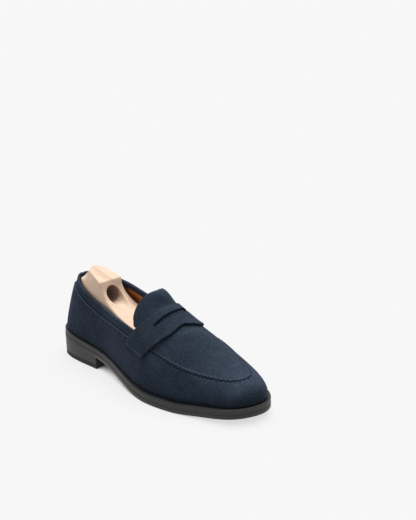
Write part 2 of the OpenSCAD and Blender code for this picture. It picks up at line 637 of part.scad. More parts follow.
// One hinge leaf with its knuckles between the given places across the hinge
module leaf(toward, spans, bore_r)
    difference() {
        union() {
            translate([hinge_x + (toward < 0 ? -leaf_len : knuckle_r + 0.5), tree_y - leaf_w / 2, leaf_z])
                cube([leaf_len - knuckle_r - 0.5, leaf_w, leaf_t]);
            for (span = spans) {
                translate([hinge_x, tree_y + span[0], hinge_z])
                    rotate([-90, 0, 0])
                        cylinder(r = knuckle_r, h = span[1] - span[0], $fn = 48);
                translate([hinge_x + (toward < 0 ? -knuckle_r - 1 : 0), tree_y + span[0], leaf_z])
                    cube([knuckle_r + 1, span[1] - span[0], leaf_t]);
            }
        }
        translate([hinge_x, tree_y, hinge_z])
            rotate([90, 0, 0])
                cylinder(r = bore_r, h = leaf_w + 10, center = true, $fn = 48);
        hinge_screws(toward, screw_gap);
    }

module tree_hinge_front_leaf() color("silver")
    leaf(1, [[-leaf_w / 2, -knuckle_w / 2 - knuckle_gap], [knuckle_w / 2 + knuckle_gap, leaf_w / 2]],
        hinge_pin_r);

module tree_hinge_rear_leaf() color("silver")
    leaf(-1, [[-knuckle_w / 2, knuckle_w / 2]], hinge_pin_r + hinge_gap);

module tree_hinge_pin() color("silver")
    translate([hinge_x, tree_y, hinge_z])
        rotate([90, 0, 0])
            cylinder(r = hinge_pin_r, h = leaf_w, center = true, $fn = 48);

module tree_front_screws() color("gold")
    hinge_screws(1, 0);

module tree_rear_screws() color("gold")
    hinge_screws(-1, 0);

outsole();
midsole();
welt();
heel_rand();
heel_lift_upper();
heel_lift_middle();
heel_lift_lower();
heel_top_piece();
heel_nails();
cork_filler();
shank();
insole();
insole_rib();
sock_lining();
vamp_wall();
apron();
tongue();
tongue_lining();
saddle_strap();
topline_collar();
quarter_lining();
vamp_lining();
heel_counter();
toe_puff();
side_interlining();
apron_stitches();
collar_stitches();
strap_stitches();
welt_stitches();
tree_heel_block();
tree_forepart();
tree_hinge_front_leaf();
tree_hinge_rear_leaf();
tree_hinge_pin();
tree_front_screws();
tree_rear_screws();
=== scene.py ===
"""Penny loafer for the right foot, in navy suede, with the wooden shoe tree that stands in it.

The upper is a set of thin sheets. Each follows one skin surface, which is described here in millimetres by
the same few tables as the CAD model, and each replaces its CAD node with a finer mesh that has seams,
rounded edges and puckers.
"""

import math

import bmesh
import bpy
import numpy as np
from mathutils import Matrix, Vector, noise


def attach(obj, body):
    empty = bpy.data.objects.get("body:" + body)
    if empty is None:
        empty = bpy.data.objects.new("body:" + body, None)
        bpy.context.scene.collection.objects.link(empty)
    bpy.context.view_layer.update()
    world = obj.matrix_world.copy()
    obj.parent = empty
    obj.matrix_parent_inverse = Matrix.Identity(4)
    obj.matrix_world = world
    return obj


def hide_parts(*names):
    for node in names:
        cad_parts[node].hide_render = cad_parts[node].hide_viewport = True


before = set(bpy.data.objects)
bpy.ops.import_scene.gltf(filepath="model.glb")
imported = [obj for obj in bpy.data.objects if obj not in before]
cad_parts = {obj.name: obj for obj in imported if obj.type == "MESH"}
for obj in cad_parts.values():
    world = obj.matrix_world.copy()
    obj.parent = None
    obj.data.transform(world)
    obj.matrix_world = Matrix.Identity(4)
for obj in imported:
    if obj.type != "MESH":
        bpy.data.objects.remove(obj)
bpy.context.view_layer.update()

MM = 0.001
SHOE = "shoe"
TREE = "tree_heel"

# ---- the last: the shape that the upper is pulled over, in millimetres ----

FEATHER = np.array([
    (-149.7, 0), (-140.7, -23), (-108, -29), (-70, -28), (-36, -36), (0, -47), (35, -50.5), (69, -45.5),
    (103, -36.2), (142.5, -30), (153, 12), (124, 33.9), (98, 45.5), (66, 46.5), (34, 39), (-2, 26), (-40, 22),
    (-76, 27), (-108, 29), (-140.7, 23)], float)
CREST = np.array([
    (-120, 0, 117.5), (-116, 0, 121.5), (-94, 0, 118.5), (-68, 0, 119), (-40, 0, 118), (-8, -1, 110.5),
    (24, -2, 90.5), (56, -2, 73), (84, 0, 56.5), (104, 2, 47), (112.3, 5, 45)], float)
SIDE_RISE = np.array([0, 0.03, 0.17, 0.31, 0.45, 0.48, 0.5, 0.6, 0.56, 0.6, 0.68])
TOP_REACH = np.array([0.55, 0.58, 0.63, 0.65, 0.6, 0.45, 0.38, 0.48, 0.5, 0.52, 0.55])
SIDE_BULGE = np.array([3.6, 3.8, 4.2, 4.8, 5, 5, 5, 5, 5, 5, 5])
SOLE_Z = np.array([30, 21, 17, 12.5, 3, -3, 3, 8.5, 13.5], float)
EDGE_OUTER = np.array([3, 3, 3.3, 3, 2.6, 3.6, 6.2, 7, 7, 4.7, 3.7])
EDGE_INNER = np.array([3, 3, 2.9, 2, 1.6, 2.6, 5.4, 6.5, 6, 4.7, 3.7])
TOPLINE_OUTER = np.array([0.729, 0.609, 0.527, 0.423, 0.377, 0.408, 0.47, 0.5])
TOPLINE_INNER = np.array([0.729, 0.609, 0.643, 0.599, 0.525, 0.491, 0.48, 0.5])
WALL_OUTER = np.array([0.608, 0.549, 0.452, 0.334, 0.303, 0.325, 0.395, 0.365, 0.455, 0.64, 0.73])
WALL_INNER = np.array([0.608, 0.549, 0.535, 0.495, 0.43, 0.4, 0.43, 0.48, 0.6, 0.64, 0.73])
CENTRE = np.array([0.4, 2.0])
OUTSOLE_T, MIDSOLE_T, WELT_T = 4.2, 3.0, 3.2
STACK_T = OUTSOLE_T + MIDSOLE_T + WELT_T
SUEDE_T, LINING_T, STRAP_T = 1.4, 1.0, 1.6
STEP = 0.02
# The finger hole of the shoe tree
FINGER_R, FINGER_Z, FINGER_BACK_X, FINGER_FRONT_X = 10.0, 82.0, -106.0, -80.0
FINGER_Y = CENTRE[1] - 4.5


def basis(t):
    return np.array([(1 - t) ** 3, 3 * t**3 - 6 * t**2 + 4, -3 * t**3 + 3 * t**2 + 3 * t + 1, t**3]) / 6


def blend_points(values, index, weights):
    """Weighted sum of four neighbouring control values, for whole arrays of parameters."""
    picked = values[index]
    shape = weights.shape + (1,) * (picked.ndim - weights.ndim)
    return (picked * weights.reshape(shape)).sum(axis=0)


def loop_at(values, u):
    u = np.asarray(u, float)
    i = np.floor(u).astype(int)
    index = np.stack([(i + j - 1) % len(values) for j in range(4)])
    return blend_points(values, index, basis(u - i))


def fold_at(values, k):
    k = np.asarray(k, float)
    n = len(values) - 1
    k = np.abs(k)
    k = np.where(k > n, 2 * n - k, k)
    i = np.minimum(np.floor(k).astype(int), n - 1)
    index = np.stack([i + j - 1 for j in range(4)])
    index = np.abs(index)
    index = np.where(index > n, 2 * n - index, index)
    return blend_points(values, index, basis(k - i))


def sole_z(x):
    """Height of the sole's underside at x."""
    q = np.clip((np.asarray(x, float) + 150) / 50, 0, len(SOLE_Z) - 3.001)
    i = np.floor(q).astype(int)
    index = np.stack([i + j for j in range(4)])
    return np.maximum(0, blend_points(SOLE_Z, index, basis(q - i)))


def feather(k, s):
    return loop_at(FEATHER, np.where(np.asarray(s) < 0, k, 20 - np.asarray(k, float))) + CENTRE


def crest(k):
    return fold_at(CREST, k) + np.append(CENTRE, 0)


def crest_slope(k):
    a = crest(np.maximum(k - 0.4, 0))
    b = crest(np.minimum(k + 0.4, 10))
    return (b[..., 2] - a[..., 2]) / (b[..., 0] - a[..., 0])


def unit(a):
    return a / np.linalg.norm(a, axis=-1, keepdims=True)


def ramp(a, b, x):
    t = np.clip((np.asarray(x, float) - a) / (b - a), 0, 1)
    return t * t * (3 - 2 * t)


def bell(x, middle, width):
    return np.exp(-(((x - middle) / width) ** 2))


def ribs(k, s):
    """Control points of the skin's cross curve at stations k on sides s."""
    f = feather(k, s)
    base = np.concatenate([f, (sole_z(f[..., 0]) + STACK_T)[..., None]], axis=-1)
    top = crest(k)
    flat = base - top
    flat[..., 2] = 0
    reach = fold_at(TOP_REACH, k) * np.linalg.norm(flat, axis=-1)
    d = unit(flat)
    up = np.zeros_like(base)
    up[..., 2] = fold_at(SIDE_RISE, k) * (top[..., 2] - base[..., 2])
    lean = np.zeros_like(base)
    lean[..., 2] = crest_slope(k) * d[..., 0] * reach
    return base, base + d * fold_at(SIDE_BULGE, k)[..., None] + up, top + d * reach[..., None] + lean, top


def curve(p, t):
    t = t[..., None]
    return (1 - t) ** 3 * p[0] + 3 * (1 - t) ** 2 * t * p[1] + 3 * (1 - t) * t * t * p[2] + t**3 * p[3]


def curve_dir(p, t):
    t = t[..., None]
    return (1 - t) ** 2 * (p[1] - p[0]) + 2 * (1 - t) * t * (p[2] - p[1]) + t * t * (p[3] - p[2])


def skin(k, s, v, h=0.0, normals=False):
    """Points of the skin at stations k (0 heel, 10 toe), on sides s (-1 outer, 1 inner) and at heights v.

    They are moved out by h.
    """
    k, s, v, h = np.broadcast_arrays(np.asarray(k, float), s, np.asarray(v, float), np.asarray(h, float))
    s = np.where((k == 0) | (k == 10), -1, s)
    here = ribs(k, s)
    across = curve(ribs(k + STEP, s), v) - curve(ribs(k - STEP, s), v)
    n = np.cross(across, curve_dir(here, v)) * -s[..., None]
    slope = crest_slope(k)
    ridge = np.stack([-slope, np.zeros_like(slope), np.ones_like(slope)], axis=-1)
    n = unit(np.where(v[..., None] > 0.999, ridge, n))
    p = curve(here, v) + h[..., None] * n
    return (p, n) if normals else p


def run_along(points):
    """Distance from the first point to each, along the line that they make."""
    return np.concatenate([[0], np.cumsum(np.linalg.norm(np.diff(points, axis=0), axis=1))])


def around(u):
    """Station and side for a place counted round the shoe: below 0 and above 10 lie on the inner side."""
    u = np.asarray(u, float)
    k = np.where(u < 0, -u, np.where(u > 10, 20 - u, u))
    return k, np.where((u < 0) | (u > 10), 1, -1)


def wall_v(k, s):
    return np.where(np.asarray(s) < 0, fold_at(WALL_OUTER, k), fold_at(WALL_INNER, k))


def topline_v(k, s):
    return np.where(np.asarray(s) < 0, fold_at(TOPLINE_OUTER, k), fold_at(TOPLINE_INNER, k))


def v_speed(k, s, v):
    """Millimetres of skin per unit of v."""
    s = np.where((k == 0) | (k == 10), -1, s)
    return 3 * np.linalg.norm(curve_dir(ribs(k, s), np.asarray(v, float)), axis=-1)


def outline(k, s, e):
    """Feather line moved out by e, in plan."""
    k, s, e = np.broadcast_arrays(np.asarray(k, float), s, np.asarray(e, float))
    s = np.where((k == 0) | (k == 10), -1, s)
    d = unit(feather(k + STEP, s) - feather(k - STEP, s))
    return feather(k, s) + (e * s)[..., None] * np.stack([-d[..., 1], d[..., 0]], axis=-1)


def edge_out(k, s):
    return np.where(np.asarray(s) < 0, fold_at(EDGE_OUTER, k), fold_at(EDGE_INNER, k))


def station_at(x, s):
    """Station at which the feather line on side s reaches x."""
    ks = np.linspace(0, 10, 2001)
    return float(np.interp(x, feather(ks, np.full(ks.shape, s))[:, 0], ks))


# ---- meshes ----


def add_object(name, verts, faces, material, body=SHOE, nodes=(), slot=None, pale=None):
    """A mesh object from millimetres.

    pale says at each point how far the colour is painted lighter (to 1) or darker (to -1): painted highlights
    and painted shade at seams, holes, creases and edges.
    """
    mesh = bpy.data.meshes.new(name)
    mesh.from_pydata([tuple(p) for p in np.asarray(verts) * MM], [], faces)
    if pale is not None:
        mesh.attributes.new("edge", "FLOAT", "POINT").data.foreach_set("value", pale)
    obj = bpy.data.objects.new(name, mesh)
    bpy.context.scene.collection.objects.link(obj)
    bm = bmesh.new()
    bm.from_mesh(mesh)
    bmesh.ops.remove_doubles(bm, verts=bm.verts, dist=1e-6)
    bmesh.ops.recalc_face_normals(bm, faces=bm.faces)
    bm.to_mesh(mesh)
    bm.free()
    mesh.polygons.foreach_set("use_smooth", [True] * len(mesh.polygons))
    mesh.materials.append(material)
    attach(obj, body)
    if nodes:
        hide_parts(*nodes)
    return obj


def grid_faces(m, n, ring, gap):
    """Quads of a solid between two m by n grids, as in a sheet of leather with cut edges."""
    half = m * n

    def solid(i, j):
        inside = (ring or 0 <= i < m - 1) and 0 <= j < n - 1
        return inside and not (gap and gap[0] <= i < gap[1] and gap[2] <= j < gap[3])

    faces = []
    for i in range(m if ring else m - 1):
        for j in range(n - 1):
            if not solid(i, j):
                continue
            a, b = i * n + j, ((i + 1) % m) * n + j
            c, d = b + 1, a + 1
            faces.append((a, b, c, d))
            faces.append((half + a, half + d, half + c, half + b))
            if not solid(i, j - 1):
                faces.append((b, a, half + a, half + b))
            if not solid(i, j + 1):
                faces.append((d, c, half + c, half + d))
            if not solid(i + 1, j):
                faces.append((c, b, half + b, half + c))
            if not solid(i - 1, j):
                faces.append((a, d, half + d, half + a))
    return faces


def drop_folded(verts, faces):
    """Removes end walls that fold flat on themselves, where both sides of the shoe share a row."""
    keys = {}
    names = [keys.setdefault(tuple(np.round(p, 5)), len(keys)) for p in verts]
    seen = {}
    for f in faces:
        corners = frozenset(names[i] for i in f)
        seen.setdefault(corners, []).append(f)
    return [f for same in seen.values() if len(same) == 1 for f in same if len({names[i] for i in f}) > 2]


def sheet(name, outer, inner, material, ring=False, gap=None, bevel=0.35, pale=None, **more):
    m, n = outer.shape[:2]
    verts = np.concatenate([outer.reshape(-1, 3), inner.reshape(-1, 3)])
    if pale is not None:
        more["pale"] = np.tile(np.asarray(pale, np.float32).reshape(-1), 2)
    obj = add_object(name, verts, drop_folded(verts, grid_faces(m, n, ring, gap)), material, **more)
    if bevel:
        round_edges(obj, bevel)
    return obj


def round_edges(obj, width):
    mod = obj.modifiers.new("round", "BEVEL")
    mod.width = width * MM
    mod.segments = 3
    mod.limit_method = "ANGLE"
    mod.angle_limit = math.radians(40)
    mod.use_clamp_overlap = True
    settle(obj)


def settle(obj):
    """Turns the object's modifiers into its mesh."""
    deps = bpy.context.evaluated_depsgraph_get()
    mesh = bpy.data.meshes.new_from_object(obj.evaluated_get(deps))
    obj.modifiers.clear()
    obj.data = mesh
    mesh.polygons.foreach_set("use_smooth", [True] * len(mesh.polygons))


def pillow(points, normals, size, scale, seed):
    """Small slow unevenness of leather: moves points along normals by noise."""
    flat = points.reshape(-1, 3)
    amount = np.array([noise.noise(Vector((x / scale + seed, y / scale, z / scale))) for x, y, z in flat])
    return points + (amount.reshape(points.shape[:-1]) * size)[..., None] * normals


# ---- materials ----


def linear(r, g, b):
    """A display colour, 0 to 255, as the renderer's linear values."""

    def value(c):
        return ((c / 255 + 0.055) / 1.055) ** 2.4 if c > 10 else c / 255 / 12.92

    return value(r), value(g), value(b), 1.0


def grey(value):
    return value, value, value, 1.0


class Nodes:
    """A node material under construction. Each call adds one node and returns its main output."""

    def __init__(self, name, slot, roughness=0.6, **sockets):
        self.mat = bpy.data.materials.new(name)
        self.mat["slot"] = slot
        self.mat.use_nodes = True
        self.tree = self.mat.node_tree
        self.bsdf = self.tree.nodes["Principled BSDF"]
        self.bsdf.inputs["Roughness"].default_value = roughness
        for key, value in sockets.items():
            self.bsdf.inputs[key.replace("_", " ")].default_value = value
        self.place = self.add("ShaderNodeTexCoord").outputs["Object"]

    def add(self, kind, **values):
        node = self.tree.nodes.new(kind)
        for key, value in values.items():
            setattr(node, key, value)
        return node

    def link(self, output, socket):
        self.tree.links.new(output, socket)

    def stretched(self, scale):
        node = self.add("ShaderNodeMapping")
        node.inputs["Scale"].default_value = scale
        self.link(self.place, node.inputs["Vector"])
        return node.outputs["Vector"]

    def noise(self, scale, detail=4.0, rough=0.55, vector=None, distortion=0.0):
        node = self.add("ShaderNodeTexNoise")
        node.inputs["Scale"].default_value = scale
        node.inputs["Detail"].default_value = detail
        node.inputs["Roughness"].default_value = rough
        node.inputs["Distortion"].default_value = distortion
        self.link(vector or self.place, node.inputs["Vector"])
        return node.outputs["Fac"]

    def cells(self, scale, vector=None):
        node = self.add("ShaderNodeTexVoronoi")
        node.inputs["Scale"].default_value = scale
        self.link(vector or self.place, node.inputs["Vector"])
        return node.outputs["Distance"]

    def colors(self, fac, *stops):
        node = self.add("ShaderNodeValToRGB")
        band = node.color_ramp
        band.elements[0].position, band.elements[0].color = stops[0]
        band.elements[1].position, band.elements[1].color = stops[-1]
        for position, color in stops[1:-1]:
            band.elements.new(position).color = color
        self.link(fac, node.inputs["Fac"])
        return node.outputs["Color"]

    def mix(self, fac, a, b, mode="MIX"):
        node = self.add("ShaderNodeMix", data_type="RGBA", blend_type=mode)
        for socket, value in ((node.inputs[0], fac), (node.inputs[6], a), (node.inputs[7], b)):
            if isinstance(value, (int, float, tuple)):
                socket.default_value = value
            else:
                self.link(value, socket)
        return node.outputs[2]

    def math(self, operation, a, b=0.0):
        node = self.add("ShaderNodeMath", operation=operation)
        for socket, value in zip(node.inputs, (a, b)):
            if isinstance(value, (int, float)):
                socket.default_value = value
            else:
                self.link(value, socket)
        return node.outputs[0]

    def parts(self, vector):
        """The X, Y and Z outputs of a vector."""
        node = self.add("ShaderNodeSeparateXYZ")
        self.link(vector, node.inputs[0])
        return node.outputs

    def facing(self):
        """The direction that the surface faces."""
        return self.parts(self.add("ShaderNodeNewGeometry").outputs["Normal"])

    def attribute(self, name):
        return self.add("ShaderNodeAttribute", attribute_name=name).outputs["Fac"]

    def bump(self, height, strength, distance, below=None):
        node = self.add("ShaderNodeBump")
        node.inputs["Strength"].default_value = strength
        node.inputs["Distance"].default_value = distance
        self.link(height, node.inputs["Height"])
        if below is not None:
            self.link(below, node.inputs["Normal"])
        return node.outputs["Normal"]

    def finish(self, color=None, roughness=None, normal=None):
        for socket, value in (("Base Color", color), ("Roughness", roughness), ("Normal", normal)):
            if value is not None:
                self.link(value, self.bsdf.inputs[socket])
        return self.mat


def suede():
    """Short nap: lighter and darker patches, a fine grain and a dull sheen. Pits and cut edges are painted
    dark as painted shade, some rims and ridges get a painted highlight, and faces that look up are painted
    lighter than the sides and the toe.
    """
    n = Nodes("navy_suede", "suede", roughness=0.95, Sheen_Weight=0.16, Sheen_Roughness=0.4,
              Sheen_Tint=linear(170, 165, 205), Specular_IOR_Level=0.12)
    deep, mid, pale = linear(28, 38, 48), linear(43, 54, 67), linear(62, 75, 92)
    patches = n.noise(38, detail=6, rough=0.68, distortion=0.9)
    tufts = n.noise(330, detail=5, rough=0.75)
    fibre = n.noise(2600, detail=2, rough=0.7)
    base = n.colors(patches, (0.3, deep), (0.5, mid), (0.7, pale))
    base = n.mix(0.45, base, n.colors(tufts, (0.38, deep), (0.62, pale)))
    base = n.mix(0.2, base, n.colors(fibre, (0.35, deep), (0.68, pale)))
    facing = n.facing()
    # Painted light and shade: the colour is lighter on top of the foot than on the sides and darker round the
    # toe, from the way each face looks
    painted_top_light = n.colors(facing["Z"], (0.1, (0.7, 0.72, 0.73, 1)), (0.4, (0.78, 0.79, 0.8, 1)),
                    (0.8, (0.86, 0.86, 0.87, 1)), (0.97, (1, 0.98, 1, 1)))
    base = n.mix(1.0, base, painted_top_light, "MULTIPLY")
    painted_toe_shade = n.colors(facing["X"], (0.42, grey(1)), (0.8, (0.74, 0.74, 0.73, 1)))
    base = n.mix(1.0, base, painted_toe_shade, "MULTIPLY")
    # Painted highlights where the edge attribute is above 0 and painted shade where it is below 0
    shade = n.attribute("edge")
    base = n.mix(n.math("MAXIMUM", shade, 0.0), base, linear(74, 86, 106))
    base = n.mix(n.math("MAXIMUM", n.math("MULTIPLY", shade, -1.0), 0.0), base, linear(7, 10, 15))
    normal = n.bump(fibre, 0.5, 0.00025)
    normal = n.bump(tufts, 0.35, 0.0006, below=normal)
    return n.finish(base, None, normal)


def tan_leather():
    n = Nodes("tan_lining", "lining", roughness=0.5)
    tone = n.noise(40, detail=5)
    pores = n.cells(1500)
    base = n.colors(tone, (0.3, linear(188, 114, 57)), (0.7, linear(222, 143, 78)))
    normal = n.bump(pores, 0.25, 0.0002)
    return n.finish(base, n.math("ADD", n.math("MULTIPLY", tone, 0.2), 0.42), normal)


def sole_edge(name="sole_edge", low=(27, 27, 26), high=(41, 40, 38), front=(30, 30, 28)):
    """Inked and waxed edge of stacked leather, in fine layers. Faces that look up are darker, dark ink with
    painted shade as under the upper's overhang, and the edge attribute paints a highlight on the lower rim.
    """
    n = Nodes(name, "sole_edge", roughness=0.5, Coat_Weight=0.1, Coat_Roughness=0.4)
    layers = n.noise(90, detail=6, rough=0.7, vector=n.stretched((0.12, 0.12, 9)))
    smudge = n.noise(60, detail=3)
    base = n.mix(0.35, n.colors(layers, (0.3, linear(*low)), (0.7, linear(*high))),
                 n.colors(smudge, (0.35, linear(*low)), (0.7, linear(*high))))
    facing = n.facing()
    # Dark ink and painted shade on faces that look up, as on the welt's ledge under the upper
    ink_and_ledge_shade = n.colors(facing["Z"], (0.75, grey(0)), (0.95, grey(1)))
    base = n.mix(ink_and_ledge_shade, base, linear(12, 13, 15))
    forward = n.colors(facing["X"], (0.85, grey(0)), (0.97, grey(1)))
    base = n.mix(forward, base, linear(*front))
    # Painted highlight where the edge attribute is above 0: the lower rim of the outsole at the waist
    base = n.mix(n.math("MAXIMUM", n.attribute("edge"), 0.0), base, linear(118, 114, 106))
    normal = n.bump(layers, 0.35, 0.0003)
    return n.finish(base, n.math("ADD", n.math("MULTIPLY", smudge, 0.25), 0.38), normal)


def rubber():
    n = Nodes("top_piece_rubber", "top_piece", roughness=0.7)
    grit = n.noise(1400, detail=3)
    base = n.colors(grit, (0.35, linear(24, 24, 23)), (0.7, linear(40, 39, 37)))
    return n.finish(base, None, n.bump(grit, 0.3, 0.0002))


def raw_leather():
    n = Nodes("insole_leather", "insole_leather", roughness=0.75)
    tone = n.noise(60, detail=6)
    base = n.colors(tone, (0.3, linear(158, 118, 84)), (0.7, linear(188, 150, 112)))
    return n.finish(base, None, n.bump(n.noise(900, detail=3), 0.3, 0.0003))


def board():
    n = Nodes("stiffener_board", "stiffener", roughness=0.85)
    weave = n.noise(1200, detail=2)
    return n.finish(n.colors(weave, (0.35, linear(188, 172, 142)), (0.7, linear(212, 198, 168))), None,
                    n.bump(weave, 0.3, 0.0002))


def cork():
    n = Nodes("ground_cork", "cork", roughness=0.9)
    grains = n.cells(420)
    return n.finish(n.colors(grains, (0.1, linear(176, 136, 92)), (0.6, linear(120, 84, 50))), None,
                    n.bump(grains, 0.5, 0.0006))


def metal(name, slot, color, rough):
    n = Nodes(name, slot, roughness=rough, Metallic=1.0)
    scratches = n.noise(300, detail=4, vector=n.stretched((12, 1, 1)))
    dark = tuple(c * 0.82 for c in linear(*color)[:3]) + (1.0,)
    base = n.colors(scratches, (0.3, dark), (0.7, linear(*color)))
    return n.finish(base, n.math("ADD", n.math("MULTIPLY", scratches, 0.2), rough - 0.1),
                    n.bump(scratches, 0.1, 0.0001))


def thread(name, slot, dark, pale):
    n = Nodes(name, slot, roughness=0.7, Sheen_Weight=0.2)
    twist = n.noise(2200, detail=2)
    return n.finish(n.colors(twist, (0.35, linear(*dark)), (0.65, linear(*pale))), None,
                    n.bump(twist, 0.5, 0.0002))


def beech():
    """Sanded beech: growth lines along the shoe, short dark flecks and a chalky gloss. The bore is painted
    darker, as painted shade inside the finger hole.
    """
    n = Nodes("beech", "beech", roughness=0.62, Specular_IOR_Level=0.3)
    rings = n.noise(60, detail=6, rough=0.6, vector=n.stretched((0.14, 1, 1.4)), distortion=0.6)
    flecks = n.cells(520, vector=n.stretched((0.18, 1, 0.55)))
    fine = n.noise(900, detail=3, vector=n.stretched((0.08, 1, 1)))
    base = n.colors(rings, (0.3, linear(202, 172, 147)), (0.5, linear(223, 195, 171)),
                    (0.7, linear(237, 211, 188)))
    base = n.mix(n.colors(flecks, (0.05, grey(0.35)), (0.22, grey(0))), base,
                 linear(165, 130, 102))
    base = n.mix(0.25, base, n.colors(fine, (0.3, linear(184, 152, 126)), (0.7, linear(228, 202, 180))))
    # Painted shade: the colour inside the finger hole's bore is made darker and greyer
    place = n.parts(n.place)
    off_y = n.math("SUBTRACT", place["Y"], FINGER_Y * MM)
    off_z = n.math("SUBTRACT", place["Z"], FINGER_Z * MM)
    radius = n.math("SQRT", n.math("ADD", n.math("MULTIPLY", off_y, off_y), n.math("MULTIPLY", off_z, off_z)))
    within = n.math("LESS_THAN", radius, (FINGER_R + 0.25) * MM)
    bore_shade = n.math("MULTIPLY", within, n.math("LESS_THAN", place["X"], (FINGER_FRONT_X + 4.5) * MM))
    bore_shade = n.math("MULTIPLY", bore_shade, n.math("GREATER_THAN", place["X"], (FINGER_BACK_X - 1) * MM))
    base = n.mix(n.math("MULTIPLY", bore_shade, 0.75), base, linear(150, 134, 128))
    normal = n.bump(fine, 0.15, 0.0003)
    return n.finish(base, n.math("ADD", n.math("MULTIPLY", rings, 0.2), 0.5), normal)


SUEDE = suede()
LINING = tan_leather()
EDGE = sole_edge()
# The heel's edge is a lighter copy of the sole's edge, a painted highlight on the heel; its reddish front is
# the breast's own colour
HEEL_EDGE = sole_edge("heel_edge", low=(31, 31, 29), high=(48, 47, 44), front=(40, 20, 16))
RUBBER = rubber()
RAW = raw_leather()
BOARD = board()
CORK = cork()
STEEL = metal("zinc_steel", "steel", (186, 188, 190), 0.35)
BRASS = metal("satin_brass", "brass", (205, 165, 92), 0.3)
THREAD = thread("navy_thread", "thread", (38, 46, 62), (64, 74, 94))
WELT_THREAD = thread("grey_thread", "welt_thread", (44, 42, 38), (70, 68, 62))
BEECH = beech()


# ---- upper ----

GAP = 0.1
SHEET_GAP = 0.3
COLLAR_T = 0.8
TURNED_T = 0.8
UNDER_H = -SUEDE_T - GAP
LINING_H = UNDER_H - COLLAR_T - SHEET_GAP
TURNED_H = LINING_H - LINING_T - SHEET_GAP
COLLAR_END = 5.35
QUARTER_END = 5.6
SEAM_START, SEAM_END = 6.02, 13.92
# Stitches: from one to the next, and the length of each
PITCH = 3.0
STITCH = 2.1
APRON_PITCH = 5.0
# Distances from a seam, in millimetres, at which a sheet's mesh has a row
NEAR = np.array([0, 0.25, 0.5, 0.8, 1.1, 1.4, 1.7, 2, 2.4, 3, 3.8, 5.5])


def surface(k, s, v, h=0.0):
    """Skin with the slow unevenness of real leather, moved out by h."""
    p, n = skin(k, s, v, 0, normals=True)
    size = 0.35 * ramp(0, 0.12, np.broadcast_to(v, p.shape[:-1]))
    return pillow(p, n, size, 30, 1.0) + np.asarray(h)[..., None] * n


def seam_run():
    """Places round the shoe along the apron seam, and the distance run so far at each, in millimetres."""
    u = np.linspace(5.4, 14.6, 1601)
    k, s = around(u)
    p = skin(k, s, wall_v(k, s))
    return u, run_along(p)


SEAM_U, SEAM_RUN = seam_run()


def seam_pull(u):
    """How much the apron seam is pulled in at u: 1 at each stitch, 0 halfway to the next."""
    run = np.interp(u, SEAM_U, SEAM_RUN)
    return 0.5 + 0.5 * np.cos(2 * math.pi * run / APRON_PITCH)


def seam_shown(u):
    return ramp(5.5, 5.9, u) * (1 - ramp(14.1, 14.5, u))


def seam_holes(u, away):
    """The needle holes of the apron seam, 1 at the middle of each. They lie on the wall's side."""
    return seam_shown(u) * seam_pull(u) ** 1.5 * bell(away, -0.9, 1.0)


def ridge_height(u, away):
    """The apron's edge stands up as a rounded ridge that each stitch pulls in. away is towards the apron."""
    ridge = (1.0 - 0.4 * seam_pull(u)) * bell(away, 1, 1.2)
    return seam_shown(u) * (ridge - 0.2 * bell(away, -0.9, 0.7)) - 0.9 * seam_holes(u, away)


def joined(*spans):
    """Numbers in even steps over each span (first, last, count). Spans that meet share a number."""
    return np.concatenate([np.linspace(*span)[:-1] for span in spans[:-1]] + [np.linspace(*spans[-1])])


def vamp_wall():
    u = joined((0, 5.5, 180), (5.5, 14.5, 900), (14.5, 20, 180))[:-1]
    k, s = around(u)
    top = wall_v(k, s)
    speed = v_speed(k, s, top)
    low = top - NEAR[-1] / speed
    v = np.stack([low * j / 30 for j in range(30)] + [top - d / speed for d in NEAR[::-1]], axis=1)
    kk, ss, uu = (np.repeat(a[:, None], v.shape[1], axis=1) for a in (k, s, u))
    away = (top[:, None] - v) * speed[:, None]
    raised = ridge_height(uu, -away)
    # Painted shade in the needle holes of the apron seam
    pale = -seam_holes(uu, -away)
    # Above the collar the wall ends in a cut edge, with a stitched groove below it
    beside = 1 - ramp(5.4, 5.8, uu) * (1 - ramp(14.2, 14.6, uu))
    groove = beside * bell(away, 1.7, 0.5)
    raised = raised - 0.5 * groove + 0.2 * beside * bell(away, 0.6, 0.6)
    # Painted highlight on the wall's top cut edge and painted shade in the stitched groove below it
    pale = pale + 0.4 * beside * (away < 0.4) - 0.95 * groove
    return sheet("upper_wall", surface(kk, ss, v, raised), surface(kk, ss, v, 0.6 * raised - SUEDE_T), SUEDE,
                 ring=True, bevel=0.3, nodes=["vamp_wall"], pale=pale)


STRAP_FRONT_OUTER = np.array([(0.255, 5.54), (0.35, 5.774), (0.45, 6.004), (0.55, 6.203), (0.65, 6.387),
                              (0.75, 6.471), (0.9, 6.565), (1, 6.712)])
STRAP_FRONT_INNER = np.array([(0.255, 5.54), (0.35, 5.774), (0.45, 6.02), (0.57, 6.3),
                              (0.7, 6.56), (0.8, 6.69), (0.9, 6.719), (1, 6.712)])
STRAP_REAR = np.array([(0.273, 4.7), (0.35, 4.83), (0.42, 5), (0.5, 5.19), (0.6, 5.382), (0.7, 5.545),
                       (0.8, 5.69), (0.9, 5.79), (1, 5.857)])
SLIT = np.array([(0.592, 5.72), (0.7, 5.866), (0.8, 5.99), (0.9, 6.09), (1, 6.159)])
TONGUE_REAR = np.array([(0.44, 4.9), (0.5, 4.78), (0.55, 4.765), (0.6, 4.785), (0.65, 4.815), (0.7, 4.86),
                        (0.75, 4.92), (0.8, 4.985), (0.85, 5.06), (0.9, 5.125), (0.95, 5.175), (1, 5.19)])
STRAP_V = 0.264
SLIT_V = 0.592
SLIT_HALF = 0.07
STRAP_H = 0.3


